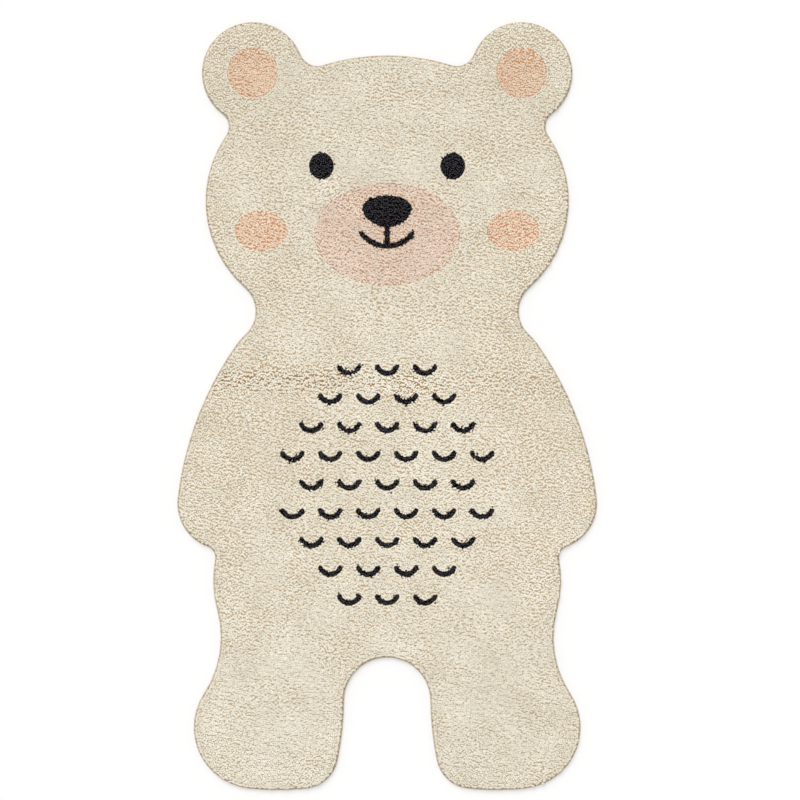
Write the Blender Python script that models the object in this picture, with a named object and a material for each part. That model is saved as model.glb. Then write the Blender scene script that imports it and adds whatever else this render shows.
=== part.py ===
"""A bear shaped rug for a child's room: a field of cut pile on a plain cotton ground cloth.

Metres, +Z up. The rug lies flat on z = 0 with its underside down, its ears towards +Y. The
origin is under its middle. The outline's own sizes are measured up from the soles of the feet.
"""

import math
from typing import NamedTuple

import bmesh
import bpy
from mathutils import Vector

# Driving dimensions
RUG_WIDTH = 0.82
RUG_LENGTH = 1.50
CLOTH_THICKNESS = 0.002
PILE_HEIGHT = 0.010
HEM_WIDTH = 0.004  # turned edge of the cloth that shows all round the pile
PIECE_GAP = 0.0003

# Soft edges
CLOTH_ROUNDING = 0.0008
CLOTH_ROUNDING_STEPS = 2
PILE_ROUNDING = 0.003
PILE_ROUNDING_STEPS = 3

# How finely an arc of the outline is drawn
ARC_STEP = 0.030
ARC_TURN = math.radians(9)
WELD_DISTANCE = 0.00001

# Radii that place the ends of the rug: the ears set its length, the paws its width
EAR_RADIUS = 0.100
PAW_RADIUS = 0.090
HEEL_RADIUS = 0.120
INSTEP_RADIUS = 0.070
SOLE_CROWN = 0.0027  # how far the heel and the instep stand up from the middle of the sole

COTTON_CLOTH = {"colour": (0.62, 0.53, 0.40, 1.0), "roughness": 0.95}
COTTON_PILE = {"colour": (0.78, 0.71, 0.58, 1.0), "roughness": 1.0}


class Arc(NamedTuple):
    """A circle that the outline follows. A negative radius is a hollow."""

    x: float
    y: float
    radius: float


class Lobe(NamedTuple):
    """One bulge of the right half of the outline, and the radius that eases it into the next."""

    name: str
    x: float
    y: float
    radius: float
    ease: float


# The right half, from the top of the head round to the top of the gap between the legs
LOBES = (
    Lobe("crown", 0.0, 1.010, 0.425, -0.035),
    Lobe("ear", 0.262, RUG_LENGTH - EAR_RADIUS, EAR_RADIUS, -0.030),
    Lobe("cheek", 0.130, 1.150, 0.225, -0.060),
    Lobe("shoulder", 0.200, 0.805, 0.115, 0.650),
    Lobe("paw", RUG_WIDTH / 2 - PAW_RADIUS, 0.560, PAW_RADIUS, -0.022),
    Lobe("hip", 0.120, 0.410, 0.220, -0.200),
    Lobe("heel", 0.258, HEEL_RADIUS + SOLE_CROWN, HEEL_RADIUS, 0.500),
    Lobe("instep", 0.165, INSTEP_RADIUS + SOLE_CROWN, INSTEP_RADIUS, 0.600),
    Lobe("leg gap", 0.0, 0.175, -0.084, 0.0),
)


def clear_scene():
    for obj in list(bpy.data.objects):
        bpy.data.objects.remove(obj, do_unlink=True)


def easing_arc(first, second, radius):
    """The arc of this radius that touches both circles, on the outer side if it is a hollow."""
    start, way = Vector(first[:2]), Vector(second[:2]) - Vector(first[:2])
    to_first = abs(radius - first.radius)
    to_second = abs(radius - second.radius)
    along = (way.length_squared + to_first**2 - to_second**2) / (2 * way.length)
    aside = math.copysign(math.sqrt(to_first**2 - along**2), -radius)
    ahead = way.normalized()
    centre = start + along * ahead + aside * Vector((-ahead.y, ahead.x))
    return Arc(centre.x, centre.y, radius)


def half_outline_arcs():
    arcs = []
    for lobe, following in zip(LOBES, LOBES[1:]):
        here = Arc(lobe.x, lobe.y, lobe.radius)
        there = Arc(following.x, following.y, following.radius)
        arcs += [here, easing_arc(here, there, lobe.ease)]
    last = LOBES[-1]
    return arcs + [Arc(last.x, last.y, last.radius)]


def touching_point(first, second):
    share = first.radius / (first.radius - second.radius)
    return (
        first.x + share * (second.x - first.x),
        first.y + share * (second.y - first.y),
    )


def arc_points(arc, start, end):
    """Points clockwise round a bulge, or the other way round a hollow, without the last one."""
    first = math.atan2(start[1] - arc.y, start[0] - arc.x)
    last = math.atan2(end[1] - arc.y, end[0] - arc.x)
    turn = math.tau if arc.radius < 0 else -math.tau
    sweep = math.fmod(last - first + turn, turn)
    reach = abs(arc.radius)
    steps = math.ceil(max(abs(sweep) / ARC_TURN, abs(sweep) * reach / ARC_STEP))
    angles = [first + sweep * step / steps for step in range(steps)]
    return [(arc.x + reach * math.cos(a), arc.y + reach * math.sin(a)) for a in angles]


def bear_outline(inset):
    """The whole outline, clockwise from the top of the head, moved inwards by the inset."""
    arcs = [arc._replace(radius=arc.radius - inset) for arc in half_outline_arcs()]
    crown, gap = arcs[0], arcs[-1]
    joints = [(0.0, crown.y + crown.radius)]
    joints += [touching_point(here, there) for here, there in zip(arcs, arcs[1:])]
    joints += [(0.0, gap.y - gap.radius)]
    right = []
    for arc, start, end in zip(arcs, joints, joints[1:]):
        right += arc_points(arc, start, end)
    left = [(-x, y) for x, y in reversed(right[1:])]
    return right + [joints[-1]] + left


def finish_of(name, finish):
    material = bpy.data.materials.new(name)
    material.use_nodes = True
    shader = material.node_tree.nodes["Principled BSDF"]
    shader.inputs["Base Color"].default_value = finish["colour"]
    shader.inputs["Roughness"].default_value = finish["roughness"]
    shader.inputs["Metallic"].default_value = 0.0
    return material


def flat_curve(name, outline, bottom, thickness):
    """A filled outline of this thickness, as a curve object that stands on the height given."""
    data = bpy.data.curves.new(name, "CURVE")
    data.dimensions = "2D"
    data.fill_mode = "BOTH"
    data.extrude = thickness / 2
    spline = data.splines.new("POLY")
    spline.points.add(len(outline) - 1)
    for point, (x, y) in zip(spline.points, outline):
        point.co = (x, y, 0.0, 1.0)
    spline.use_cyclic_u = True
    obj = bpy.data.objects.new(name, data)
    obj.location = (0.0, -RUG_LENGTH / 2, bottom + thickness / 2)
    bpy.context.scene.collection.objects.link(obj)
    return obj


def as_mesh(curve, collection):
    """A mesh object in the curve's place, with the caps welded to the sides."""
    bpy.context.view_layer.update()
    graph = bpy.context.evaluated_depsgraph_get()
    mesh = bpy.data.meshes.new_from_object(curve.evaluated_get(graph))
    name, place = curve.name, curve.matrix_world.copy()
    bpy.data.objects.remove(curve, do_unlink=True)
    shape = bmesh.new()
    shape.from_mesh(mesh)
    bmesh.ops.remove_doubles(shape, verts=shape.verts, dist=WELD_DISTANCE)
    bmesh.ops.recalc_face_normals(shape, faces=shape.faces)
    shape.to_mesh(mesh)
    shape.free()
    obj = bpy.data.objects.new(name, mesh)
    obj.matrix_world = place
    collection.objects.link(obj)
    return obj


def round_top_edge(obj, radius, steps):
    """Rounds the rim where the upper face meets the sides."""
    shape = bmesh.new()
    shape.from_mesh(obj.data)
    highest = max(vertex.co.z for vertex in shape.verts)
    rim = []
    for edge in shape.edges:
        at_top = all(highest - vertex.co.z < WELD_DISTANCE for vertex in edge.verts)
        if at_top and edge.calc_face_angle(0.0) > math.radians(45):
            rim.append(edge)
    bmesh.ops.bevel(
        shape,
        geom=rim,
        offset=radius,
        segments=steps,
        profile=0.5,
        affect="EDGES",
        clamp_overlap=True,
        material=-1,
    )
    shape.to_mesh(obj.data)
    shape.free()
    obj.data.shade_smooth()
    obj.data.set_sharp_from_angle(angle=math.radians(50))


def flat_piece(name, outline, bottom, thickness, collection):
    return as_mesh(flat_curve(name, outline, bottom, thickness), collection)


def ground_cloth(collection):
    """The cotton cloth that carries the pile, cut to the bear with its edge turned in."""
    cloth = flat_piece("ground_cloth", bear_outline(0.0), 0.0, CLOTH_THICKNESS, collection)
    round_top_edge(cloth, CLOTH_ROUNDING, CLOTH_ROUNDING_STEPS)
    cloth.data.materials.append(finish_of("cotton cloth", COTTON_CLOTH))


def pile_field(collection):
    """The cut pile, as the solid that the tips of the tufts reach to."""
    foot = CLOTH_THICKNESS + PIECE_GAP
    pile = flat_piece("pile_field", bear_outline(HEM_WIDTH), foot, PILE_HEIGHT, collection)
    round_top_edge(pile, PILE_ROUNDING, PILE_ROUNDING_STEPS)
    pile.data.materials.append(finish_of("cotton pile", COTTON_PILE))


def main():
    clear_scene()
    collection = bpy.data.collections.new("bear_rug")
    bpy.context.scene.collection.children.link(collection)
    ground_cloth(collection)
    pile_field(collection)


main()
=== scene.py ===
"""Looks of the bear shaped rug: cut pile, tufted face and tummy, ground cloth, hem and stitches.

Metres, +Z up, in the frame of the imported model. The rug lies on z = 0 with its ears towards +Y,
and heights on the design are measured from its middle. A share is a part of the whole, 1 for all.
"""

import logging
import math
from collections import defaultdict
from dataclasses import dataclass, field, replace
from enum import Enum
from typing import NamedTuple

import bmesh
import bpy
import numpy as np
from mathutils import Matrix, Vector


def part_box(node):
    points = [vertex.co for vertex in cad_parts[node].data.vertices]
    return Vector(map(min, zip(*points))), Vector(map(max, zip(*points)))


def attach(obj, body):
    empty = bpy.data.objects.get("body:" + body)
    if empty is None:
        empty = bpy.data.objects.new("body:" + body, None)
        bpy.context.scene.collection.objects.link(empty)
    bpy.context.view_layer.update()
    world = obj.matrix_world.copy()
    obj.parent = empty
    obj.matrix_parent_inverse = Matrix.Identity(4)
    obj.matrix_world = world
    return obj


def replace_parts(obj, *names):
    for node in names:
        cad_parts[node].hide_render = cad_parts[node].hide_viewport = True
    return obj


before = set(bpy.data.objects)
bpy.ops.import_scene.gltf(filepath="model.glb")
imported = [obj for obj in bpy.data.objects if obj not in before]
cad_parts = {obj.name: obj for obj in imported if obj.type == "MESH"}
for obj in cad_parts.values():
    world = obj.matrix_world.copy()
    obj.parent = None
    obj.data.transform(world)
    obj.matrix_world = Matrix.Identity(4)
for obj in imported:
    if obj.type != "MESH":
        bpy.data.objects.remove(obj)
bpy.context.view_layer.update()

ROOT_BODY = "root"
RIM_AREA = "rim"
PLAN_SEED = 20
PILE_SEED = 31
STITCH_SEED = 20
WELD_DISTANCE = 0.00001
TINY = 1e-12

Pair = tuple[float, float]
Colour = tuple[float, float, float]
Places = np.ndarray  # one row (x, y) for each place or direction
Random = np.random.Generator
Shape = bmesh.types.BMesh
Piece = bpy.types.Object
Finish = bpy.types.Material
Socket = bpy.types.NodeSocket
Value = float | Colour | Socket

WHITE = (1.0, 1.0, 1.0)

log = logging.getLogger("bear rug")


# ---------------------------------------------------------------- lines on the cloth


def to_the_left(ways: Places) -> Places:
    """Return the directions a quarter turn to the left of these."""
    return np.stack([-ways[:, 1], ways[:, 0]], axis=1)


class Contour:
    """A closed line on the cloth, counter-clockwise, as points in the plane."""

    FINE_STEP = 0.002  # how finely it is drawn before a row is moved off it
    LEAST_POINTS = 6
    ROW_SLACK = 0.0005  # how much nearer than its inset a row may come
    CHUNK = 4096  # how many places are measured at once

    def __init__(self, points: Places) -> None:
        """Keep the points, turned round if they run clockwise.

        Args:
            points: The points, in order.
        """
        self.points = points
        if self.area() < 0:
            self.points = points[::-1]

    @classmethod
    def of_node(cls, name: str) -> "Contour":
        """Read the outline of a flat CAD node.

        Args:
            name: The node's name.

        Returns:
            The line round the node's lower face.
        """
        shape = bmesh.new()
        shape.from_mesh(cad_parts[name].data)
        bmesh.ops.remove_doubles(shape, verts=shape.verts, dist=WELD_DISTANCE)
        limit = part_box(name)[0].z + WELD_DISTANCE
        low = [face for face in shape.faces if all(corner.co.z < limit for corner in face.verts)]
        under = bmesh.ops.dissolve_faces(shape, faces=low)["region"][0]
        walk = list(under.verts)[::-1]
        first = next(walk.index(edge.verts[0]) for edge in shape.edges if under in edge.link_faces)
        points = np.array([corner.co[:2] for corner in walk[first:] + walk[:first]])
        shape.free()
        return cls(points)

    def area(self) -> float:
        """Return the area inside, negative if the points run clockwise."""
        x, y = self.points.T
        return float((x * np.roll(y, -1) - np.roll(x, -1) * y).sum() / 2)

    def stepped(self, step: float) -> "Contour":
        """Draw the same line with its points evenly apart.

        Args:
            step: About how far apart they are.

        Returns:
            The line.
        """
        closed = np.vstack([self.points, self.points[:1]])
        along = np.concatenate([[0.0], np.cumsum(np.linalg.norm(np.diff(closed, axis=0), axis=1))])
        count = max(self.LEAST_POINTS, round(along[-1] / step))
        at = np.arange(count) * along[-1] / count
        return Contour(np.stack([np.interp(at, along, closed[:, axis]) for axis in (0, 1)], axis=1))

    def ways(self) -> Places:
        """Return the unit direction of travel at each point."""
        ahead = np.roll(self.points, -1, axis=0) - np.roll(self.points, 1, axis=0)
        return ahead / np.linalg.norm(ahead, axis=1, keepdims=True)

    def depth(self, places: Places) -> np.ndarray:
        """Measure how far inside the line places lie.

        Args:
            places: The places.

        Returns:
            How far inside each lies, negative if it is outside.
        """
        start = self.points
        way = np.roll(start, -1, axis=0) - start
        length_squared = (way**2).sum(1)
        slope = way[:, 0] / np.where(way[:, 1] == 0, TINY, way[:, 1])
        found = np.empty(len(places))
        for low in range(0, len(places), self.CHUNK):
            part = places[low : low + self.CHUNK]
            x = part[:, None, 0] - start[None, :, 0]
            y = part[:, None, 1] - start[None, :, 1]
            share = ((x * way[:, 0] + y * way[:, 1]) / length_squared).clip(0, 1)
            gap = np.hypot(x - share * way[:, 0], y - share * way[:, 1]).min(1)
            above = start[None, :, 1] > part[:, None, 1]
            crosses = above != np.roll(above, -1, axis=1)
            inside = (crosses & (y * slope > x)).sum(1) % 2 == 1
            found[low : low + self.CHUNK] = np.where(inside, gap, -gap)
        return found

    def row(self, inset: float, step: float) -> tuple[Places, Places]:
        """Lay a row of places along the line.

        Args:
            inset: How far inside the line the row runs, negative for outside.
            step: The distance from one place to the next.

        Returns:
            The places, and the direction of the row at each.
        """
        fine = self.stepped(self.FINE_STEP)
        moved = Contour(fine.points + inset * to_the_left(fine.ways())).stepped(step)
        depth = self.depth(moved.points)
        clear = depth > inset - self.ROW_SLACK if inset > 0 else depth < inset + self.ROW_SLACK
        return moved.points[clear], moved.ways()[clear]


def clear_of(places: Places, lines: list[Contour], gap: float) -> np.ndarray:
    """Find the places outside every one of these lines.

    Args:
        places: The places.
        lines: The lines.
        gap: How far outside they have to be.

    Returns:
        For each place, whether it is.
    """
    free = np.ones(len(places), bool)
    for line in lines:
        near = ((places > line.points.min(0) - gap) & (places < line.points.max(0) + gap)).all(1)
        free[near] &= line.depth(places[near]) < -gap
    return free


@dataclass(frozen=True)
class Oval:
    """An oval mark, by its middle and full size. A taper makes it an egg or a soft triangle."""

    CORNERS = 72

    x: float
    y: float
    width: float
    height: float
    taper: float = 0.0  # how much wider it is above its middle than below, as a share

    def mirrored(self) -> "Oval":
        """Return the same mark on the other side of the rug's middle."""
        return replace(self, x=-self.x)

    def contour(self) -> Contour:
        """Draw the line round the mark.

        Returns:
            The line.
        """
        turn = np.linspace(0, math.tau, self.CORNERS, endpoint=False)
        across = self.width / 2 * np.cos(turn) * (1 + self.taper * np.sin(turn))
        along = self.height / 2 * np.sin(turn)
        return Contour(np.stack([self.x + across, self.y + along], axis=1))


@dataclass(frozen=True)
class Stroke:
    """A mark of even width with round ends, drawn along a line of points."""

    STRAIGHT_DOWN = 270  # degrees
    ARC_POINTS = 13
    CAP_STEP = 15  # degrees

    points: tuple[Pair, ...]
    width: float

    @classmethod
    def crescent(cls, x: float, y: float, radius: float, reach: float, width: float) -> "Stroke":
        """Draw the lower part of a circle.

        Args:
            x: The circle's middle, across the rug.
            y: The circle's middle, along the rug.
            radius: Its radius.
            reach: How far it turns to each side of straight down, in degrees.
            width: How wide it is tufted.

        Returns:
            The stroke.
        """
        first, last = cls.STRAIGHT_DOWN - reach, cls.STRAIGHT_DOWN + reach
        turns = np.radians(np.linspace(first, last, cls.ARC_POINTS))
        line = [(x + radius * math.cos(turn), y + radius * math.sin(turn)) for turn in turns]
        return cls(tuple(line), width)

    def contour(self) -> Contour:
        """Draw the line round the stroke, with its round ends.

        Returns:
            The line.
        """
        line = np.array(self.points)
        way = np.gradient(line, axis=0)
        way /= np.linalg.norm(way, axis=1, keepdims=True)
        aside = to_the_left(way) * self.width / 2
        cap = np.radians(np.arange(self.CAP_STEP, 180, self.CAP_STEP))[:, None]
        end = line[-1] + np.cos(cap) * -aside[-1] + np.sin(cap) * way[-1] * self.width / 2
        start = line[0] + np.cos(cap) * aside[0] - np.sin(cap) * way[0] * self.width / 2
        return Contour(np.vstack([line - aside, end, (line + aside)[::-1], start]))


# ---------------------------------------------------------------- yarns and finishes


class Yarn(Enum):
    """The dyed yarns that the rug is tufted with."""

    CREAM = "cream_pile"
    CHARCOAL = "charcoal_pile"
    BLUSH = "blush_pile"
    APRICOT = "apricot_pile"


class Dye:
    """A material in the making: its shader, and the nodes that colour it."""

    CLOUD_STOPS = (0.35, 0.65)  # where the noise reaches the two colours of the clouds
    MIX_INPUTS = (0, 6, 7)  # factor and colours, by number because names are used twice
    MIX_OUTPUT = 2

    def __init__(self, name: str, roughness: float = 1.0, specular: float = 0.1) -> None:
        """Start the material.

        Args:
            name: The finish's name.
            roughness: How matt it is.
            specular: How much it shines.
        """
        self.material = bpy.data.materials.new(name)
        self.material.use_nodes = True
        self.tree = self.material.node_tree
        self.shader = self.tree.nodes["Principled BSDF"]
        self.feed(self.shader, {"Roughness": roughness, "Specular IOR Level": specular})

    def feed(self, node: bpy.types.Node, inputs: dict[str | int, Value]) -> None:
        """Set a node's inputs.

        Args:
            node: The node.
            inputs: Each input's name or number, with its value or the socket it is read from.
        """
        for key, value in inputs.items():
            if isinstance(value, Socket):
                self.tree.links.new(value, node.inputs[key])
            else:
                plain = (*value, 1.0) if isinstance(value, tuple) else value
                node.inputs[key].default_value = plain

    def node(self, kind: str, inputs: dict[str | int, Value], **settings: str) -> bpy.types.Node:
        """Add a node.

        Args:
            kind: Its type, without the word ShaderNode.
            inputs: Its inputs, as feed takes them.
            settings: Its other settings.

        Returns:
            The node.
        """
        node = self.tree.nodes.new(f"ShaderNode{kind}")
        for name, value in settings.items():
            setattr(node, name, value)
        self.feed(node, inputs)
        return node

    def place(self) -> Socket:
        """Return the object's own coordinates."""
        return self.node("TexCoord", {}).outputs["Object"]

    def mix(self, blend: str, factor: Value, first: Value, second: Value) -> Socket:
        """Mix two colours.

        Args:
            blend: The way they are mixed, such as MIX or MULTIPLY.
            factor: How much of the second.
            first: The first colour.
            second: The second colour.

        Returns:
            The mixed colour.
        """
        inputs = dict(zip(self.MIX_INPUTS, (factor, first, second)))
        node = self.node("Mix", inputs, data_type="RGBA", blend_type=blend)
        return node.outputs[self.MIX_OUTPUT]

    def ramp(self, value: Value, stops: list[tuple[float, Colour]]) -> Socket:
        """Turn a value into a colour.

        Args:
            value: The value.
            stops: Each position with its colour.

        Returns:
            The colour.
        """
        node = self.node("ValToRGB", {"Fac": value})
        elements = node.color_ramp.elements
        while len(elements) < len(stops):
            elements.new(0.5)
        for element, (position, colour) in zip(elements, stops):
            element.position, element.color = position, (*colour, 1.0)
        return node.outputs["Color"]

    def clouds(self, scale: float, detail: float, low: Colour, high: Colour) -> Socket:
        """Let a colour drift between two, in soft clouds.

        Args:
            scale: Clouds for each metre.
            detail: How many finer layers they have.
            low: The one colour.
            high: The other colour.

        Returns:
            The colour.
        """
        noise = self.node("TexNoise", {"Vector": self.place(), "Scale": scale, "Detail": detail})
        return self.ramp(noise.outputs["Fac"], list(zip(self.CLOUD_STOPS, (low, high))))


@dataclass(frozen=True)
class SpunCotton:
    """Matt cotton yarn that is spun a little uneven."""

    colour: Colour
    shades: Pair = (0.78, 1.20)  # its thinnest and its thickest part, as shares of the colour
    lumps: float = 650.0  # thicker parts in each metre
    detail: float = 2.0  # finer layers of them

    def material(self, name: str) -> Finish:
        """Build the finish.

        Args:
            name: The finish's name.

        Returns:
            The material.
        """
        dye = Dye(name)
        thin, thick = (
            tuple(min(shade * part, 1.0) for part in self.colour) for shade in self.shades
        )
        dye.feed(dye.shader, {"Base Color": dye.clouds(self.lumps, self.detail, thin, thick)})
        return dye.material


@dataclass(frozen=True)
class FoldShadedCotton:
    """Cotton deep in the pile, with painted shade that makes it browner along the fold of the rug.
    """

    plain: Colour
    # painted shade: the power that the deep colour is raised to in the fold, to darken it there
    fold_shading: float = 1.75  # the power that its colour is raised to in the fold
    height: float = 0.048
    reach: float = 0.031  # half the width of the browner band
    inner: Pair = (0.35, 0.65)  # where it has its full brown, as shares of that width
    end: float = 0.085  # how far right of the middle it starts to fade
    end_strength: float = 0.35  # how much of it is left beyond that

    def material(self, name: str) -> Finish:
        """Build the finish.

        Args:
            name: The finish's name.

        Returns:
            The material.
        """
        dye = Dye(name)
        parts = dye.node("SeparateXYZ", {"Vector": dye.place()}).outputs
        low, high = self.height - self.reach, self.height + self.reach
        band = dye.node("MapRange", {"Value": parts["Y"], "From Min": low, "From Max": high})
        # painted shade along the fold, darkest in the middle of the band and weaker to the right
        brown = tuple(part**self.fold_shading for part in self.plain)
        full = [(position, brown) for position in self.inner]
        along = dye.ramp(band.outputs["Result"], [(0.0, self.plain), *full, (1.0, self.plain)])
        ends = {"From Min": self.end, "From Max": self.end + self.reach}
        strengths = {"To Min": 1.0, "To Max": self.end_strength}
        fading = dye.node("MapRange", {"Value": parts["X"], **ends, **strengths})
        colour = dye.mix("MIX", fading.outputs["Result"], self.plain, along)
        dye.feed(dye.shader, {"Base Color": colour})
        return dye.material


@dataclass(frozen=True)
class YarnFinish:
    """Cut cotton yarn: pale at the tips, brown deep in the gaps and down each tuft by painted
    shade, and spun a little uneven.
    """

    # deep, root and side are painted shade: the yarn's colour darkened the deeper it lies in the
    # pile
    deep: Colour  # the pile's body, deep in the gaps
    root: Colour  # a tuft's lower edge
    side: Colour
    tip: Colour  # its cut end
    dull: Colour = (0.80, 0.78, 0.73)  # what the dullest of the yarn is multiplied by
    sheen: float = 0.10  # the soft bloom of cotton seen edge on
    sheen_roughness: float = 0.6
    stops: tuple[float, ...] = (0.20, 0.48, 1.0)  # heights of root, side and tip on the scale

    def material(self, name: str) -> Finish:
        """Build the finish.

        Args:
            name: The finish's name.

        Returns:
            The material.
        """
        dye = Dye(name, specular=0.0)
        tip = dye.node("Attribute", {}, attribute_name="tip").outputs["Fac"]
        shade = dye.node("Attribute", {}, attribute_name="shade").outputs["Fac"]
        # painted shade: the colour darkens from the tip down to the root of each tuft
        colour = dye.ramp(tip, list(zip(self.stops, (self.root, self.side, self.tip))))
        # the shade attribute holds random tone, with painted light and painted shade laid on it
        spun = dye.ramp(shade, [(0.0, self.dull), (1.0, WHITE)])
        bloom = {"Sheen Weight": self.sheen, "Sheen Roughness": self.sheen_roughness}
        dye.feed(dye.shader, {"Base Color": dye.mix("MULTIPLY", 1.0, colour, spun), **bloom})
        return dye.material


YARN_FINISHES = {
    Yarn.CREAM: YarnFinish(
        (0.55, 0.42, 0.27), (0.88, 0.80, 0.63), (0.97, 0.91, 0.78), (1.0, 0.98, 0.90)
    ),
    # the charcoal's grey tips are painted highlight, on yarn that is near black below them
    Yarn.CHARCOAL: YarnFinish(
        (0.0005, 0.0005, 0.0007),
        (0.001, 0.001, 0.0015),
        (0.008, 0.007, 0.009),
        (0.135, 0.128, 0.140),
        dull=(0.60, 0.60, 0.60),
        sheen=0.0,
    ),
    Yarn.BLUSH: YarnFinish(
        (0.51, 0.31, 0.20), (0.82, 0.59, 0.45), (0.96, 0.785, 0.66), (1.0, 0.94, 0.84)
    ),
    Yarn.APRICOT: YarnFinish(
        (0.58, 0.29, 0.15), (0.86, 0.55, 0.365), (0.98, 0.765, 0.585), (1.0, 0.91, 0.76)
    ),
}
HEM_THREAD = SpunCotton((0.22, 0.15, 0.10))


@dataclass(frozen=True)
class ClothFinish:
    """Plain woven cotton in the yarn's own cream, a little dustier in patches."""

    WAVE_RATE = 20  # radians of Blender's wave texture for each metre at a scale of 1

    thread: Colour = (0.84, 0.76, 0.64)
    gap: Colour = (0.60, 0.52, 0.40)  # between the threads
    pitch: float = 0.0012  # from one thread to the next
    unevenness: float = 0.6  # how much the threads wander
    wander_scale: float = 0.3  # how finely they do
    relief: float = 0.0003  # how high they stand
    relief_strength: float = 0.6
    dust: Colour = (0.93, 0.92, 0.90)  # what the dustiest cloth is multiplied by
    patches: float = 45.0  # dusty patches in each metre
    patch_detail: float = 3.0  # finer layers of them
    roughness: float = 0.95
    shine: float = 0.2

    def material(self, name: str) -> Finish:
        """Build the finish.

        Args:
            name: The finish's name.

        Returns:
            The material.
        """
        dye = Dye(name, self.roughness, self.shine)
        wave = {
            "Vector": dye.place(),
            "Scale": math.tau / (self.WAVE_RATE * self.pitch),
            "Distortion": self.unevenness,
            "Detail Scale": self.wander_scale,
        }
        warp, weft = (dye.node("TexWave", wave, bands_direction=way).outputs["Fac"] for way in "XY")
        weave = dye.node("Math", {0: warp, 1: weft}, operation="MULTIPLY").outputs[0]
        dust = dye.clouds(self.patches, self.patch_detail, self.dust, WHITE)
        colour = dye.mix("MULTIPLY", 1.0, dye.mix("MIX", weave, self.gap, self.thread), dust)
        relief = {"Height": weave, "Strength": self.relief_strength, "Distance": self.relief}
        normal = dye.node("Bump", relief).outputs["Normal"]
        dye.feed(dye.shader, {"Base Color": colour, "Normal": normal})
        return dye.material


# ---------------------------------------------------------------- where the tufts stand


class Tuft(NamedTuple):
    """One tuft: its place, the way its row runs, its yarn, and the piece of pile it belongs to."""

    x: float
    y: float
    way: Pair
    yarn: Yarn
    area: str


@dataclass
class TuftPlan:
    """Where each tuft is set into the cloth, kept clear of the ones before it."""

    clear: float  # the least distance between two tufts
    guard: float  # the least distance from a tuft to a mark on top of its own area
    cell: float = 0.006  # side of the squares that the cloth is sorted into
    tufts: list[Tuft] = field(default_factory=list)
    squares: dict[tuple[int, int], list[Tuft]] = field(default_factory=lambda: defaultdict(list))

    def is_free(self, x: float, y: float) -> bool:
        """Find whether no tuft stands too near a place.

        Args:
            x: The place, across the rug.
            y: The place, along the rug.

        Returns:
            Whether a tuft can be set there.
        """
        column, row = int(x // self.cell), int(y // self.cell)
        around = [(column + i, row + j) for i in (-1, 0, 1) for j in (-1, 0, 1)]
        nearby = (tuft for square in around for tuft in self.squares.get(square, ()))
        closest = self.clear * self.clear
        return all((tuft.x - x) ** 2 + (tuft.y - y) ** 2 >= closest for tuft in nearby)

    def set_row(
        self, places: Places, ways: Places | None, yarn: Yarn, area: str, above: list[Contour]
    ) -> None:
        """Set a tuft at each place that is still free.

        Args:
            places: The places, in order.
            ways: The row's direction at each, or None for straight across the rug.
            yarn: The yarn of this row.
            area: The piece of pile that it belongs to.
            above: The lines round the marks on top of it.
        """
        ways = np.tile((1.0, 0.0), (len(places), 1)) if ways is None else ways
        free = clear_of(places, above, self.guard)
        for (x, y), way in zip(places[free].tolist(), ways[free].tolist()):
            if self.is_free(x, y):
                self.tufts.append(Tuft(x, y, tuple(way), yarn, area))
                self.squares[int(x // self.cell), int(y // self.cell)].append(self.tufts[-1])


@dataclass(frozen=True)
class Swell:
    """A smooth random surface made of long waves, always the same for the same seed."""

    seed: int
    across: float  # usual distance between its crests across the rug
    along: float  # and along it
    waves: int = 28
    paces: Pair = (0.6, 1.4)  # how closely the slowest and the fastest wave follow, as shares
    crest: float = 1.6  # how many times its usual height its crests have

    def at(self, places: Places) -> np.ndarray:
        """Measure the surface.

        Args:
            places: The places.

        Returns:
            Its height at each, mostly between -1 and 1.
        """
        random = np.random.default_rng(self.seed)
        turn = random.uniform(0, math.tau, self.waves)
        pace = random.uniform(*self.paces, self.waves)
        start = random.uniform(0, math.tau, self.waves)
        found = np.zeros(len(places))
        for angle, speed, offset in zip(turn, pace, start):
            across = math.tau * speed * math.cos(angle) / self.across
            along = math.tau * speed * math.sin(angle) / self.along
            found += np.cos(places[:, 0] * across + places[:, 1] * along + offset)
        return found / math.sqrt(self.waves / 2) / self.crest


class Patch(NamedTuple):
    """One area of the design, with its yarn and the piece of pile that it belongs to."""

    mark: Oval | Stroke
    yarn: Yarn
    area: str


@dataclass(frozen=True)
class BearFace:
    """The tufted face, with the right one of each pair."""

    ear_lining: Oval = Oval(0.262, 0.650, 0.098, 0.098)
    eye: Oval = Oval(0.128, 0.468, 0.048, 0.052)
    cheek: Oval = Oval(0.246, 0.342, 0.102, 0.078)
    muzzle: Oval = Oval(0.0, 0.335, 0.284, 0.200)
    nose: Oval = Oval(0.0, 0.380, 0.096, 0.062, 0.16)
    lip_height: float = 0.352  # the top of the groove under the nose
    chin_height: float = 0.312  # its end, at the bottom of the smile
    smile_radius: float = 0.062
    smile_reach: float = 52.0  # degrees to each side of straight down
    line_width: float = 0.0105

    def patches(self) -> list[Patch]:
        """List the face's areas.

        Returns:
            The areas, the ones on top first.
        """
        middle = self.chin_height + self.smile_radius
        smile = Stroke.crescent(0.0, middle, self.smile_radius, self.smile_reach, self.line_width)
        groove = Stroke(((0.0, self.lip_height), (0.0, self.chin_height)), self.line_width)
        dark = (self.nose, smile, groove)
        found = [Patch(mark, Yarn.CHARCOAL, "nose_and_mouth") for mark in dark]
        for mark, yarn, area in (
            (self.eye, Yarn.CHARCOAL, "eyes"),
            (self.cheek, Yarn.APRICOT, "cheeks"),
            (self.ear_lining, Yarn.APRICOT, "ear_linings"),
        ):
            found += [Patch(mark, yarn, area), Patch(mark.mirrored(), yarn, area)]
        return found + [Patch(self.muzzle, Yarn.BLUSH, "muzzle")]


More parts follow.
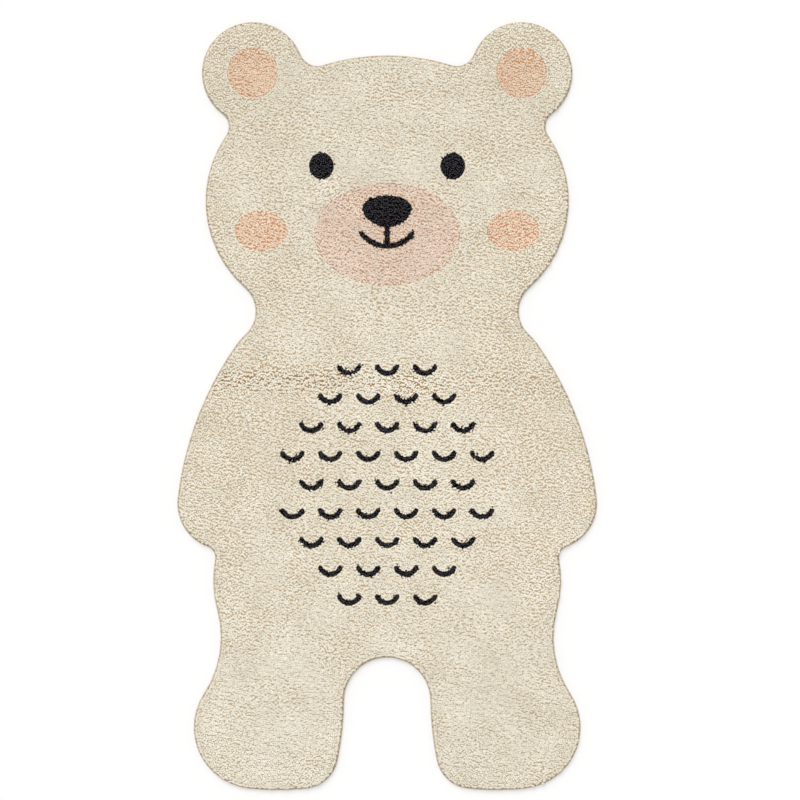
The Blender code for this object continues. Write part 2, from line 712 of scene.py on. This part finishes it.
@dataclass(frozen=True)
class TummyMarks:
    """Short crescents in staggered rows that fill a rounded bib."""

    top: float = 0.085
    row_drop: float = 0.056
    pitch: float = 0.074  # from one crescent to the next in its row
    counts: tuple[int, ...] = (3, 4, 5, 6, 5, 6, 5, 4, 3)
    radius: float = 0.021
    reach: float = 66.0  # degrees to each side of straight down
    width: float = 0.0100

    def patches(self) -> list[Patch]:
        """List every crescent.

        Returns:
            Their areas.
        """
        found = []
        for row, count in enumerate(self.counts):
            for place in range(count):
                x = (place - (count - 1) / 2) * self.pitch
                y = self.top - row * self.row_drop
                mark = Stroke.crescent(x, y, self.radius, self.reach, self.width)
                found.append(Patch(mark, Yarn.CHARCOAL, "tummy_marks"))
        return found


@dataclass(frozen=True)
class Tufting:
    """The order and the spacing in which the rug is tufted, and its pieces of cream pile."""

    rim_inset: float = 0.0020  # from the pile's outline in to the row along it
    rim_scatter: float = 0.0005  # how far that row's tufts stand off their line
    mark_inset: float = 0.0020  # from a mark's line in to the row along it
    mark_scatter: float = 0.0018
    filling_inset: float = 0.0016  # from a mark's line in to its bare spots
    guard_row: float = 0.0020  # from a mark's line out to the cream row round it
    guard: float = 0.0010  # from a mark's line out to the nearest cream tuft
    line_step: float = 0.0032  # from one tuft to the next along a line
    row_drop: float = 0.0031  # from one row of the field to the next
    step: float = 0.0036  # from one tuft to the next in such a row
    stray: float = 0.10  # how far rows and tufts stray, as a share of their distance
    clear: float = 0.0018  # the least distance between two tufts
    wander: float = 0.0010  # how far the rows wander up and down
    winding: Swell = Swell(21, 0.012, 0.012)
    bare: float = 0.0029  # how far from every tuft a spot is bare
    search_step: float = 0.0010  # how finely bare spots are looked for
    cream_areas: tuple[str, ...] = (
        "ears_and_brow",
        "face",
        "neck_and_chest",
        "tummy",
        "hips",
        "legs",
    )
    cream_bounds: tuple[float, ...] = (0.46, 0.20, -0.02, -0.20, -0.40)

    def set_cream(
        self, plan: TuftPlan, places: Places, ways: Places | None, above: list[Contour]
    ) -> None:
        """Set cream tufts, each in the piece of its own height.

        Args:
            plan: The tufts so far.
            places: The places.
            ways: The row's direction at each, or None for straight across the rug.
            above: The lines round the marks.
        """
        piece = np.searchsorted(-np.array(self.cream_bounds), -places[:, 1])
        for number, name in enumerate(self.cream_areas):
            chosen = piece == number
            chosen_ways = None if ways is None else ways[chosen]
            plan.set_row(places[chosen], chosen_ways, Yarn.CREAM, name, above)

    def rows(self, line: Contour, random: Random) -> Places:
        """Lay staggered rows of tufts across the box round a line.

        Args:
            line: The line.
            random: What the unevenness is drawn from.

        Returns:
            The places.
        """
        low, high = line.points.min(0), line.points.max(0)
        columns = np.arange(low[0], high[0] + self.step, self.step)
        levels = np.arange(low[1], high[1] + self.row_drop, self.row_drop)
        x, y = np.meshgrid(columns, levels)
        staggered = np.arange(len(levels)) % 2 / 2 + random.normal(0, self.stray, len(levels))
        x = x + self.step * staggered[:, None]
        x = x + random.normal(0, self.stray * self.step, x.shape)
        y = y + random.normal(0, self.stray * self.row_drop, y.shape)
        places = np.stack([x.ravel(), y.ravel()], axis=1)
        places[:, 1] += self.wander * self.winding.at(places)
        return places

    def bare_spots(self, plan: TuftPlan, line: Contour, inset: float) -> Places:
        """Find the bare spots that the rows have left inside a line.

        Args:
            plan: The tufts so far.
            line: The line.
            inset: How far inside it the spots stay.

        Returns:
            The spots, which may lie near each other.
        """
        low, high = line.points.min(0), line.points.max(0)
        counts = np.ceil((high - low) / self.search_step).astype(int) + 1
        covered = np.zeros(counts, bool)
        tufts = np.array([(tuft.x, tuft.y) for tuft in plan.tufts])
        nearest = np.round((tufts - low) / self.search_step).astype(int)
        reach = math.ceil(self.bare / self.search_step)
        for offset in np.ndindex(2 * reach + 1, 2 * reach + 1):
            spots = nearest + np.array(offset) - reach
            near = np.linalg.norm(low + spots * self.search_step - tufts, axis=1) < self.bare
            known = ((spots >= 0) & (spots < counts)).all(1)
            covered[tuple(spots[near & known].T)] = True
        places = low + np.argwhere(~covered) * self.search_step
        return places[line.depth(places) > inset]

    def tuft_patch(
        self, plan: TuftPlan, patch: Patch, above: list[Contour], random: Random
    ) -> Contour:
        """Tuft one area: a row along its line, then rows across what is inside.

        Args:
            plan: The tufts so far.
            patch: The area.
            above: The lines round the areas on top of it.
            random: What the unevenness is drawn from.

        Returns:
            The line round it.
        """
        line = patch.mark.contour()
        places, ways = line.row(self.mark_inset, self.line_step)
        places = places + random.normal(0, self.mark_scatter, places.shape)
        plan.set_row(places, ways, patch.yarn, patch.area, above)
        places = self.rows(line, random)
        places = places[line.depth(places) > self.mark_inset]
        plan.set_row(places, None, patch.yarn, patch.area, above)
        places = self.bare_spots(plan, line, self.filling_inset)
        plan.set_row(places, None, patch.yarn, patch.area, above)
        return line

    def plan(self, outline: Contour, patches: list[Patch]) -> TuftPlan:
        """Tuft the whole rug: the design, the row along the rim, and then the field.

        Args:
            outline: The outline of the pile.
            patches: The areas of the design, the ones on top first.

        Returns:
            Where every tuft stands.
        """
        random = np.random.default_rng(PLAN_SEED)
        plan = TuftPlan(self.clear, self.guard)
        marks = []
        for patch in patches:
            marks.append(self.tuft_patch(plan, patch, marks, random))
        places, ways = outline.row(self.rim_inset, self.line_step)
        places = places + random.normal(0, self.rim_scatter, places.shape)
        plan.set_row(places, ways, Yarn.CREAM, RIM_AREA, [])
        for mark in marks:
            self.set_cream(plan, *mark.row(-self.guard_row, self.line_step), marks)
        places = self.rows(outline, random)
        places = places[outline.depth(places) > self.rim_inset + self.clear]
        self.set_cream(plan, places, None, marks)
        self.set_cream(plan, self.bare_spots(plan, outline, self.rim_inset), None, marks)
        return plan


# ---------------------------------------------------------------- the pile


def put_in_scene(name: str, mesh: bpy.types.Mesh, *finishes: Finish) -> Piece:
    """Make a mesh an object of the scene.

    Args:
        name: The object's name.
        mesh: The mesh.
        finishes: Its finishes.

    Returns:
        The object.
    """
    for finish in finishes:
        mesh.materials.append(finish)
    obj = bpy.data.objects.new(name, mesh)
    bpy.context.scene.collection.objects.link(obj)
    return obj


def finished(name: str, shape: Shape, *finishes: Finish) -> Piece:
    """Make a shape an object of the scene, and free it.

    Args:
        name: The object's name.
        shape: The shape.
        finishes: Its finishes.

    Returns:
        The object.
    """
    mesh = bpy.data.meshes.new(name)
    shape.to_mesh(mesh)
    shape.free()
    return put_in_scene(name, mesh, *finishes)


def add_slab(shape: Shape, points: Places, base: float, top: float) -> None:
    """Add a flat slab to a shape.

    Args:
        shape: The shape.
        points: The slab's outline.
        base: The height of its lower face.
        top: The height of its upper face.
    """
    under = shape.faces.new([shape.verts.new((x, y, base)) for x, y in points])
    grown = bmesh.ops.extrude_face_region(shape, geom=[under], use_keep_orig=True)
    raised = [item for item in grown["geom"] if isinstance(item, bmesh.types.BMVert)]
    bmesh.ops.translate(shape, vec=(0, 0, top - base), verts=raised)


def taken_apart(shape: Shape) -> tuple[np.ndarray, list[list[int]]]:
    """Take a small shape apart, and free it.

    Args:
        shape: The shape.

    Returns:
        Its corners, and its faces as corner numbers.
    """
    shape.verts.index_update()
    corners = np.array([vertex.co for vertex in shape.verts])
    faces = [[vertex.index for vertex in face.verts] for face in shape.faces]
    shape.free()
    return corners, faces


def joined_copies(name: str, corners: np.ndarray, faces: list[list[int]], finish: Finish) -> Piece:
    """Join many copies of one small shape into one piece.

    Args:
        name: The piece's name.
        corners: The corners of every copy, one block for each.
        faces: The faces of one copy, as corner numbers.
        finish: The piece's finish.

    Returns:
        The piece.
    """
    count, size, _ = corners.shape
    of_one = np.concatenate(faces)
    starts = np.concatenate([[0], np.cumsum([len(face) for face in faces])[:-1]])
    copy = np.arange(count)[:, None]
    mesh = bpy.data.meshes.new(name)
    mesh.vertices.add(count * size)
    mesh.vertices.foreach_set("co", corners.ravel())
    mesh.loops.add(count * len(of_one))
    mesh.loops.foreach_set("vertex_index", (of_one + copy * size).ravel())
    mesh.polygons.add(count * len(faces))
    mesh.polygons.foreach_set("loop_start", (starts + copy * len(of_one)).ravel())
    mesh.update(calc_edges=True)
    mesh.shade_smooth()
    return put_in_scene(name, mesh, finish)


@dataclass(frozen=True)
class TuftShape:
    """One tuft of cut yarn: a soft dome on a stem that tapers into the pile."""

    LEVEL_DIGITS = 3  # decimals that tell one level from the next

    along: float = 0.0027  # half its width along the row
    across: float = 0.0021
    shoulder: float = 0.0010  # how far its widest part lies under its tip
    shoulders: Pair = (0.8, 1.2)  # the least and the greatest of that, as shares
    rings: int = 1  # 2 for a tuft at the rim, whose stem stands free
    foot: float = 0.0015  # how far the lower ring stands over the root
    # painted shade: the lower a level, the darker its place on the colour scale
    tones: tuple[float, ...] = (0.0, 0.2, 1.0)  # each level's height on the colour scale
    sides: int = 5
    unevenness: float = 0.10  # how much its corners differ, as a share
    most_uneven: float = 2.0  # how many times that they differ at most
    girths: Pair = (0.95, 1.05)  # the least and the greatest, as shares
    turn: float = 0.50  # how far it is turned from its row, in radians

    def shape(self) -> Shape:
        """Model it with its root at z = -1, its tip at z = 1 and its rings in between.

        Returns:
            The shape.
        """
        shape = bmesh.new()
        bmesh.ops.create_uvsphere(
            shape, u_segments=self.sides, v_segments=self.rings + 1, radius=1.0
        )
        widen = 1 / math.sin(math.pi / (self.rings + 1))
        size = (self.along * widen, self.across * widen, 1.0)
        bmesh.ops.scale(shape, vec=size, verts=shape.verts)
        bmesh.ops.recalc_face_normals(shape, faces=shape.faces)
        return shape


RIM_TUFT = TuftShape(
    along=0.0025,
    across=0.0025,
    shoulder=0.0014,
    rings=2,
    # painted shade: paler flanks, as these stems stand free, and tips darker than the field's at
    # the sloping edge
    tones=(0.0, 0.42, 0.5, 0.8),
    unevenness=0.16,
    girths=(0.75, 1.20),
)


class Spot(NamedTuple):
    """A round place where the pile differs from elsewhere, most in its middle."""

    x: float
    y: float
    reach: float
    change: float


def sum_of_spots(spots: tuple[Spot, ...], places: Places) -> np.ndarray:
    """Add up how much spots change the pile.

    Args:
        spots: The spots.
        places: The places.

    Returns:
        The change at each place.
    """
    change = np.zeros(len(places))
    for spot in spots:
        away = np.linalg.norm(places - (spot.x, spot.y), axis=1)
        change += spot.change * np.exp(-((away / spot.reach) ** 2))
    return change


@dataclass(frozen=True)
class Fold:
    """The mark that a fold has left across the chest, where the tufts lean apart."""

    height: float = 0.048
    width: float = 0.025
    line: Swell = Swell(27, 0.30, 0.30)
    wander: float = 0.5  # how far the line wanders, as a share of the width
    depth: float = 0.85  # 0 for none, 1 for the deepest
    strength: Swell = Swell(28, 0.10, 0.10)
    change: float = 0.3  # how much the strength changes
    end: float = 0.10  # how far right of the middle it weakens
    slack: float = 0.55  # how much weaker it is beyond that
    sway: float = 0.0043  # how far the tips lean in it
    parting: Swell = Swell(29, 0.036, 0.0070)
    opening: float = 0.085  # how much thinner the tufts are in it, as a share
    # painted highlight: the yarn is made brighter in the fold, for the light on the opened tufts'
    # sides
    painted_highlight: float = 0.22  # how much brighter, where the light reaches their sides

    def at(self, places: Places) -> np.ndarray:
        """Measure how deep in the fold places lie.

        Args:
            places: The places.

        Returns:
            How deep each lies, from 0 to 1.
        """
        line = self.height + self.wander * self.width * self.line.at(places)
        slack = self.slack * (1 + np.tanh((places[:, 0] - self.end) / self.width)) / 2
        strength = (self.depth + self.change * self.strength.at(places) - slack).clip(0, 1)
        return np.exp(-(((places[:, 1] - line) / self.width) ** 2)) * strength


@dataclass(frozen=True)
class PileRelief:
    """How the tips of the pile lie: parted, trodden in patches, and loosened by a fold."""

    unevenness: float = 0.0006  # how much single tufts differ in height
    levels: Swell = Swell(24, 0.09, 0.06)
    treading: float = 0.4  # how far patches are trodden down, as a share of the unevenness
    sway: float = 0.0021  # how far the tips lean with their neighbours
    sideways: float = 0.5  # the share of that across the rug
    parting_across: Swell = Swell(22, 0.016, 0.014)
    parting_along: Swell = Swell(23, 0.0082, 0.0064)
    trodden: float = 0.45  # how much the lean differs between patches, as a share
    patches: Swell = Swell(26, 0.13, 0.13)
    scatter: float = 0.0002  # how far each tuft strays on its own
    tilt: float = 0.0003  # how far each tip leans on its own
    fold: Fold = Fold()
    fullness: float = 0.035  # how much the girth differs between patches, as a share
    full_patches: Swell = Swell(30, 0.16, 0.12)
    full_spots: tuple[Spot, ...] = (
        Spot(0.00, 0.50, 0.25, 0.05),
        Spot(-0.25, 0.27, 0.12, -0.03),
        Spot(0.25, 0.27, 0.12, -0.04),
        Spot(-0.29, -0.05, 0.15, -0.07),
        Spot(0.30, -0.03, 0.15, -0.08),
        Spot(-0.22, -0.63, 0.20, 0.13),
        Spot(0.22, -0.63, 0.20, 0.13),
    )
    firmness: float = 4.0  # how much less the tips lean where such a spot is fuller
    fading: float = 0.10  # how much the brightness differs between patches
    faded_patches: Swell = Swell(31, 0.11, 0.08)
    # painted light and painted shade: broad spots that make the yarn darker where the change is
    # below 0, brighter where it is above
    painted_light_spots: tuple[Spot, ...] = (
        Spot(0.00, 0.45, 0.30, -0.10),
        Spot(-0.27, 0.65, 0.12, -0.30),
        Spot(0.27, 0.65, 0.12, -0.30),
        Spot(0.24, -0.64, 0.18, -0.38),
        Spot(-0.24, -0.60, 0.20, -0.18),
        Spot(0.00, 0.33, 0.11, -0.25),
        Spot(0.00, 0.21, 0.15, 0.14),
        Spot(0.15, -0.11, 0.10, 0.18),
    )
    # painted shade: the yarn at the rim is made duller, where the pile slopes away at its edge
    rim_shading: float = 0.75  # how much duller the rim is
    rim_reach: float = 0.0045  # how far in that is seen

    def girths(self, places: Places) -> np.ndarray:
        """Return how full the tufts are at each place, 1 for the usual girth."""
        patch = self.fullness * self.full_patches.at(places) + sum_of_spots(self.full_spots, places)
        return 1 + patch - self.fold.opening * self.fold.at(places)

    def brightness(self, places: Places, outline: Contour) -> np.ndarray:
        """Measure how much brighter than usual the yarn is painted: random patches of tone, with
        painted light and shade in broad spots, a painted highlight in the fold and painted shade
        along the rim.

        Args:
            places: The places.
            outline: The outline of the pile.

        Returns:
            How much brighter it is at each.
        """
        rim_shade = np.exp(-outline.depth(places).clip(0, None) / self.rim_reach)
        patch = self.fading * self.faded_patches.at(places) + sum_of_spots(self.painted_light_spots, places)
        return patch + self.fold.painted_highlight * self.fold.at(places) - self.rim_shading * rim_shade

    def lean(self, places: Places) -> np.ndarray:
        """Measure how far each tip stands off its root.

        Args:
            places: The places.

        Returns:
            How far it does across and along the rug.
        """
        firm = self.firmness * sum_of_spots(self.full_spots, places)
        reach = self.sway * (1 + self.trodden * self.patches.at(places) - firm)
        across = self.sideways * reach * self.parting_across.at(places)
        along = reach * self.parting_along.at(places)
        along += self.fold.sway * self.fold.at(places) * self.fold.parting.at(places)
        return np.stack([across, along], axis=1)

    def drops(self, places: Places, random: Random) -> np.ndarray:
        """Return how far each tip stays under the top of the pile."""
        patch = self.treading * self.unevenness * (1 + self.levels.at(places))
        return patch.clip(0, None) + self.unevenness * random.uniform(0, 1, len(places))


@dataclass(frozen=True)
class CutPile:
    """The cut tufts, as one joined piece for each area of the design."""

    plan: TuftPlan
    outline: Contour
    body_top: float
    cloth_top: float
    top: float  # the height that the tallest tips reach
    sunk: float = 0.0015  # how deep in the body the tufts start
    rim_sunk: float = 0.0005  # how deep in the cloth those of the rim start
    relief: PileRelief = PileRelief()
    tuft: TuftShape = TuftShape()
    rim_tuft: TuftShape = RIM_TUFT
    bend: float = 0.75  # the share of its lean that a tuft has at its rings
    tilt_bend: float = 0.3  # the share of that which its own tilt has there
    dim: Pair = (0.22, 0.94)  # the least and the greatest shade, 0 for dull and 1 for bright
    twist: float = 0.07  # how much the shade changes round a tuft

    def piece(self, area: str, finish: Finish, random: Random) -> Piece:
        """Join the tufts of one area.

        Args:
            area: The area's name.
            finish: Its yarn's finish.
            random: What their unevenness is drawn from.

        Returns:
            The piece of pile.
        """
        tufts = [tuft for tuft in self.plan.tufts if tuft.area == area]
        places = np.array([(tuft.x, tuft.y) for tuft in tufts])
        places = places + random.normal(0, self.relief.scatter, places.shape)
        ways = np.array([tuft.way for tuft in tufts])
        form, root = self.tuft, self.body_top - self.sunk
        if area == RIM_AREA:
            form, root = self.rim_tuft, self.cloth_top - self.rim_sunk
        points, faces = taken_apart(form.shape())
        levels = np.unique(points[:, 2].round(form.LEVEL_DIGITS), return_inverse=True)[1]
        turns = np.arctan2(ways[:, 1], ways[:, 0]) + random.normal(0, form.turn, len(places))
        outlines = self.outlines(form, points, places, turns, random)
        corners = self.bent(form, root, outlines, levels, places, random)
        obj = joined_copies(f"pile_{area}", corners, faces, finish)
        shades = random.uniform(*self.dim, len(places))
        # painted light and painted shade from the relief, added to each tuft's random tone
        shades += self.relief.brightness(places, self.outline)
        turns = np.arctan2(points[:, 1] / form.across, points[:, 0] / form.along)
        odd = np.round(turns * form.sides / math.tau).astype(int) % 2
        in_ring = (levels > 0) & (levels <= form.rings)
        shades = shades[:, None] + self.twist * np.where(in_ring, 2 * odd - 1, 0)
        tones = np.tile(np.array(form.tones)[levels], len(places))
        self.colour(obj, tones, shades.clip(0, 1).ravel())
        return obj

    def outlines(
        self, form: TuftShape, points: np.ndarray, places: Places, turns: np.ndarray, random: Random
    ) -> np.ndarray:
        """Draw each tuft as it is seen from above, upright, of its own girth and turn.

        Args:
            form: The shape of a tuft.
            points: The corners of that shape.
            places: Where the tufts stand.
            turns: How far each is turned.
            random: What their unevenness is drawn from.

        Returns:
            Its corners (x, y), one block for each tuft.
        """
        size = (len(places), len(points))
        girth = random.uniform(*form.girths, (len(places), 1)) * self.relief.girths(places)[:, None]
        uneven = random.normal(0, 1, size).clip(-form.most_uneven, form.most_uneven)
        girth = girth * (1 + form.unevenness * uneven)
        x, y = girth * points[:, 0], girth * points[:, 1]
        cosine, sine = np.cos(turns)[:, None], np.sin(turns)[:, None]
        turned = np.stack([x * cosine - y * sine, x * sine + y * cosine], axis=2)
        return places[:, None] + turned

    def bent(
        self,
        form: TuftShape,
        root: float,
        outlines: np.ndarray,
        levels: np.ndarray,
        places: Places,
        random: Random,
    ) -> np.ndarray:
        """Raise the tufts to their own heights, leaning with their neighbours.

        Args:
            form: The shape of a tuft.
            root: The height that they start from.
            outlines: Their corners (x, y), one block for each.
            levels: The level of each corner, from 0 at the root.
            places: Where they stand.
            random: What their unevenness is drawn from.

        Returns:
            Their corners.
        """
        count = len(places)
        lean = self.relief.lean(places)
        tilt = random.normal(0, self.relief.tilt, (count, 2))
        bend, tilt_bend = (
            np.where(levels == levels.max(), 1.0, np.where(levels > 0, share, 0.0))[:, None]
            for share in (self.bend, self.tilt_bend * self.bend)
        )
        tips = self.top - self.relief.drops(places, random)
        shoulders = tips - form.shoulder * random.uniform(*form.shoulders, count)
        feet = [np.full(count, root + form.foot)] * (form.rings - 1)
        heights = np.stack([np.full(count, root), *feet, shoulders, tips], axis=1)[:, levels, None]
        flat = outlines + (lean[:, None] * bend + tilt[:, None] * tilt_bend)
        return np.concatenate([flat, heights], axis=2)

    def colour(self, obj: Piece, tips: np.ndarray, shades: np.ndarray) -> None:
        """Give a piece the attributes that its yarn's finish reads, and keep them for the bake.

        Args:
            obj: The piece.
            tips: Height on the yarn's colour scale of each corner.
            shades: Shade of each corner.
        """
        for name, values in (("tip", tips), ("shade", shades)):
            attribute = obj.data.attributes.new(name, "FLOAT", "POINT")
            attribute.data.foreach_set("value", values.astype(np.float32))
        used = np.empty(len(obj.data.loops), np.int32)
        obj.data.loops.foreach_get("vertex_index", used)
        layer = obj.data.uv_layers.new(name="OFBake")
        vectors = np.stack([shades, tips], axis=1)[used].astype(np.float32)
        layer.uv.foreach_set("vector", vectors.ravel())


@dataclass
class PileBody:
    """The dense lower part of the pile, where the tufts press each other into one body."""

    cloth_top: float
    height: float = 0.0083  # how far over the cloth the cream body reaches
    sunk: float = 0.0003  # how deep in the cloth the bodies start
    rim_inset: float = 0.0022  # from the outline in to the cream body
    mark_inset: float = 0.0005  # from a mark's line in to its body
    mark_rise: float = 0.0002  # how far a mark's body stands over the cream one
    charcoal_rise: float = 0.0004
    step: float = 0.004  # how finely their outlines are drawn
    steep: float = 0.5  # faces that look up by less than this are sides
    shapes: dict[Yarn, Shape] = field(default_factory=lambda: defaultdict(bmesh.new))

    @property
    def top(self) -> float:
        """The height that the cream body reaches."""
        return self.cloth_top + self.height

    def add(self, yarn: Yarn, line: Contour, inset: float, rise: float) -> None:
        """Add one body of this yarn that follows a line, this far inside it."""
        points, _ = line.row(inset, self.step)
        add_slab(self.shapes[yarn], points, self.cloth_top - self.sunk, self.top + rise)

    def pieces(self, outline: Contour, patches: list[Patch]) -> dict[Yarn, Piece]:
        """Build the bodies of each yarn as one piece, with painted shade making their tops, seen
        deep in the gaps, darker than their sides.

        Args:
            outline: The outline of the pile.
            patches: The areas of the design.

        Returns:
            The pieces.
        """
        self.add(Yarn.CREAM, outline, self.rim_inset, 0.0)
        for patch in patches:
            rise = self.charcoal_rise if patch.yarn is Yarn.CHARCOAL else self.mark_rise
            self.add(patch.yarn, patch.mark.contour(), self.mark_inset, rise)
        made = {}
        for yarn, shape in self.shapes.items():
            bmesh.ops.recalc_face_normals(shape, faces=shape.faces)
            for face in shape.faces:
                face.material_index = int(abs(face.normal.z) < self.steep)
            name, finish = yarn.name.lower(), YARN_FINISHES[yarn]
            # painted shade: the top shows the darker deep colour, the sides the paler root colour
            top = FoldShadedCotton(finish.deep).material(f"{name} pile, deep")
            side = SpunCotton(finish.root).material(f"{name} pile, side")
            made[yarn] = finished(f"pile_body_{name}", shape, top, side)
        return made


# ---------------------------------------------------------------- the ground cloth


@dataclass(frozen=True)
class GroundCloth:
    """The cotton cloth that carries the pile, with its edge turned in under itself."""

    ROUND = 0.5  # the bevel's profile for a round edge

    thickness: float
    roll: float = 0.0009  # how round its folded edge is
    roll_steps: int = 3
    outline_step: float = 0.0060
    hem: float = 0.024  # width of the turned edge underneath
    hem_step: float = 0.0005  # how far that stands down from the rest of the underside
    crease: float = 40.0  # the least angle of a sharp edge, in degrees

    def piece(self, outline: Contour, finish: Finish) -> Piece:
        """Model the cloth: two faces, a rolled edge, and a hem that stands proud underneath.

        Args:
            outline: Its outline.
            finish: Its finish.

        Returns:
            The cloth.
        """
        shape = bmesh.new()
        add_slab(shape, outline.stepped(self.outline_step).points, 0.0, self.thickness)
        bmesh.ops.recalc_face_normals(shape, faces=shape.faces)
        spans = [(edge, edge.verts[0].co.z - edge.verts[1].co.z) for edge in shape.edges]
        rims = [edge for edge, span in spans if abs(span) < WELD_DISTANCE]
        rolled = {"offset": self.roll, "segments": self.roll_steps, "profile": self.ROUND}
        bmesh.ops.bevel(shape, geom=rims, affect="EDGES", material=-1, **rolled)
        under = max(shape.faces, key=lambda face: -face.normal.z * face.calc_area())
        for width in (self.hem, self.hem_step):
            bmesh.ops.inset_region(shape, faces=[under], thickness=width, depth=0.0)
        bmesh.ops.translate(shape, vec=(0, 0, self.hem_step), verts=under.verts)
        obj = finished("ground_cloth_woven", shape, finish)
        obj.data.shade_smooth()
        obj.data.set_sharp_from_angle(angle=math.radians(self.crease))
        return obj


@dataclass(frozen=True)
class WhipStitches:
    """The short slanting stitches that hold the turned edge, between the fold and the pile."""

    pitch: float = 0.0095
    start: float = 0.0006  # how far inside the fold each begins
    length: float = 0.0030  # how far each reaches in from there
    slant: float = 0.0042  # how far its inner end runs ahead
    thread: float = 0.0009  # radius
    girths: Pair = (0.45, 1.30)  # of the tightest and the loosest stitch, as shares
    stray: float = 0.0020
    rise: float = 0.0006  # how far its middle stands over its ends
    sunk: float = 0.3  # how deep its ends lie in the cloth, as a share of the radius
    sides: int = 6
    rings: int = 3

    def piece(self, outline: Contour, level: float, finish: Finish) -> Piece:
        """Model one stitch and sew it all round.

        Args:
            outline: The cloth's outline.
            level: The height of the cloth's upper face.
            finish: The thread's finish.

        Returns:
            The stitches.
        """
        shape = bmesh.new()
        bmesh.ops.create_uvsphere(
            shape, u_segments=self.sides, v_segments=self.rings + 1, radius=1.0
        )
        points, faces = taken_apart(shape)
        line = outline.stepped(self.pitch)
        ways = line.ways()
        share = points[:, 2]
        inward = self.start + self.length * (1 + share) / 2
        random = np.random.default_rng(STITCH_SEED)
        strays = random.normal(0, self.stray, (len(ways), 1))
        radius = self.thread * random.uniform(*self.girths, (len(ways), 1))
        ahead = strays + self.slant * share / 2 + radius * points[:, 0]
        corners = np.empty((len(ways), len(points), 3))
        corners[:, :, 0] = line.points[:, :1] + ways[:, :1] * ahead - ways[:, 1:] * inward
        corners[:, :, 1] = line.points[:, 1:] + ways[:, 1:] * ahead + ways[:, :1] * inward
        corners[:, :, 2] = level + radius * (points[:, 1] - self.sunk) + self.rise * (1 - share**2)
        return joined_copies("whip_stitches", corners, faces, finish)


# ---------------------------------------------------------------- the studio


@dataclass(frozen=True)
class Studio:
    """A pale floor, soft light from beyond the ears, and a camera straight over the rug."""

    paper: Colour = (0.92, 0.92, 0.92)
    paper_roughness: float = 0.9
    paper_shine: float = 0.5
    reach: float = 12.0  # how far the floor reaches to each side
    window: float = 1.25  # strength of the large soft light
    softness: float = 40.0  # how wide that is, in degrees
    slant: float = 38.0  # how far it leans towards the ears, in degrees
    swing: float = 20.0  # how far it is swung round to the left, in degrees
    fill: float = 0.78  # strength of the even light from all round
    view_width: float = 1.5625
    aim: Pair = (0.025, 0.012)  # the middle of the picture
    camera_height: float = 6.0
    sensor: float = 36.0  # millimetres

    def floor(self) -> None:
        """Lay the floor."""
        shape = bmesh.new()
        bmesh.ops.create_grid(shape, x_segments=1, y_segments=1, size=self.reach)
        dye = Dye("studio paper", self.paper_roughness, self.paper_shine)
        dye.feed(dye.shader, {"Base Color": self.paper})
        obj = finished("floor", shape, dye.material)

    def lights(self) -> None:
        """Hang a large soft light beyond the ears and fill the rest with even light."""
        data = bpy.data.lights.new("window", "SUN")
        data.energy = self.window
        data.angle = math.radians(self.softness)
        obj = bpy.data.objects.new("window", data)
        obj.rotation_euler = (math.radians(-self.slant), 0.0, math.radians(self.swing))
        bpy.context.scene.collection.objects.link(obj)
        world = bpy.data.worlds.new("studio")
        world.use_nodes = True
        background = world.node_tree.nodes["Background"]
        background.inputs["Color"].default_value = (*WHITE, 1.0)
        background.inputs["Strength"].default_value = self.fill
        bpy.context.scene.world = world
        bpy.context.scene.view_settings.view_transform = "Standard"

    def camera(self) -> None:
        """Hang the camera straight over the rug."""
        data = bpy.data.cameras.new("camera")
        data.sensor_width = self.sensor
        data.lens = self.sensor * self.camera_height / self.view_width
        obj = bpy.data.objects.new("camera", data)
        obj.location = (*self.aim, self.camera_height)
        bpy.context.scene.collection.objects.link(obj)
        bpy.context.scene.camera = obj


def main() -> None:
    """Build the rug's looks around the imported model."""
    logging.basicConfig(level=logging.INFO, format="%(name)s: %(message)s")
    studio = Studio()
    studio.floor()
    studio.lights()
    studio.camera()
    cloth_outline, pile_outline = Contour.of_node("ground_cloth"), Contour.of_node("pile_field")
    cloth_top, pile_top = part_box("ground_cloth")[1].z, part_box("pile_field")[1].z
    cloth = GroundCloth(cloth_top).piece(cloth_outline, ClothFinish().material("cotton cloth"))
    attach(cloth, ROOT_BODY)
    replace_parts(cloth, "ground_cloth")
    patches = BearFace().patches() + TummyMarks().patches()
    plan = Tufting().plan(pile_outline, patches)
    log.info("%d tufts", len(plan.tufts))
    stitches = WhipStitches().piece(cloth_outline, cloth_top, HEM_THREAD.material("hem thread"))
    pieces = [stitches]
    body = PileBody(cloth_top)
    for yarn, obj in body.pieces(pile_outline, patches).items():
        pieces.append(obj)
    pile = CutPile(plan, pile_outline, body.top, cloth_top, pile_top)
    random = np.random.default_rng(PILE_SEED)
    finishes = {
        yarn: YARN_FINISHES[yarn].material(f"{yarn.name.lower()} cotton pile") for yarn in Yarn
    }
    for area, yarn in {tuft.area: tuft.yarn for tuft in plan.tufts}.items():
        obj = pile.piece(area, finishes[yarn], random)
        pieces.append(obj)
    triangles = 0
    for obj in pieces:
        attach(obj, ROOT_BODY)
        obj.data.calc_loop_triangles()
        triangles += len(obj.data.loop_triangles)
        log.info("%s: %d triangles", obj.name, len(obj.data.loop_triangles))
    log.info("%d triangles in all", triangles)
    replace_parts(pieces[-1], "pile_field")
    cloth_outline.area()


if __name__ == "__main__":
    main()
